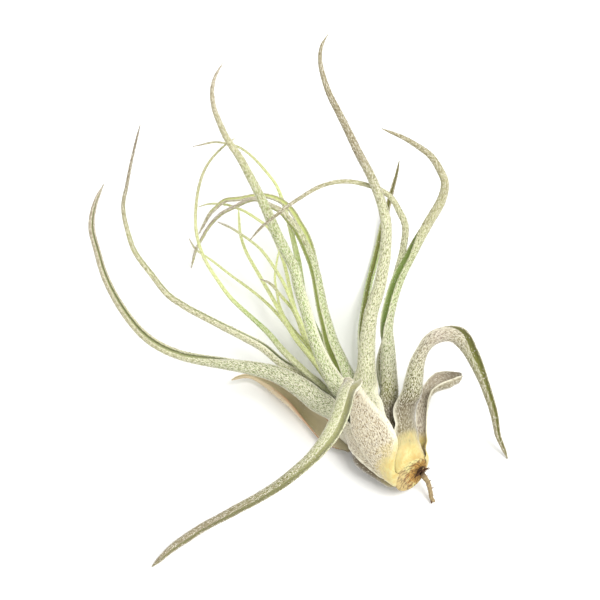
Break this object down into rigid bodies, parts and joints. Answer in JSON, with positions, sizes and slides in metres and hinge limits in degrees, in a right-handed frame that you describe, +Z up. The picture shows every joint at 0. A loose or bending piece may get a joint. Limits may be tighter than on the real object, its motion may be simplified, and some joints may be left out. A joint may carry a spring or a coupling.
{
  "type": "air plant",
  "caption": "Small bulbous air plant lying on its side, with curling channelled leaves fanning from a sheathed bulb, thin young leaves, a stem scar and a root stub.",
  "frame": {"origin": "middle of the small flat spot under the bulb that the plant lies on", "axes": "+Z up from the surface; the leaves point towards +Y and the root end towards -Y"},
  "size_m": [0.1314, 0.1527, 0.0968],
  "materials": {
    "silver_leaf": "matte, covered in fine silvery scales",
    "green_leaf": "matte",
    "dry_leaf": "matte, dried",
    "stem": "rough, fibrous",
    "root": "rough"
  },
  "bodies": {
    "root": {"front_leaf": "silver_leaf", "left_leaf": "silver_leaf", "outer_left_leaf": "silver_leaf", "tall_left_leaf": "silver_leaf", "tall_right_leaf": "silver_leaf", "right_leaf": "silver_leaf", "right_arch_leaf": "silver_leaf", "spoon_leaf": "silver_leaf", "behind_leaf": "silver_leaf", "far_arch_leaf": "silver_leaf", "arched_leaf": "green_leaf", "lower_arched_leaf": "green_leaf", "loop_leaf": "green_leaf", "thin_leaf_1": "green_leaf", "thin_leaf_2": "green_leaf", "thin_leaf_3": "green_leaf", "thin_leaf_4": "green_leaf", "thin_leaf_5": "green_leaf", "thin_leaf_6": "green_leaf", "thin_leaf_7": "green_leaf", "dry_leaf": "dry_leaf", "stem": "stem", "root": "root"}
  },
  "joints": []
}
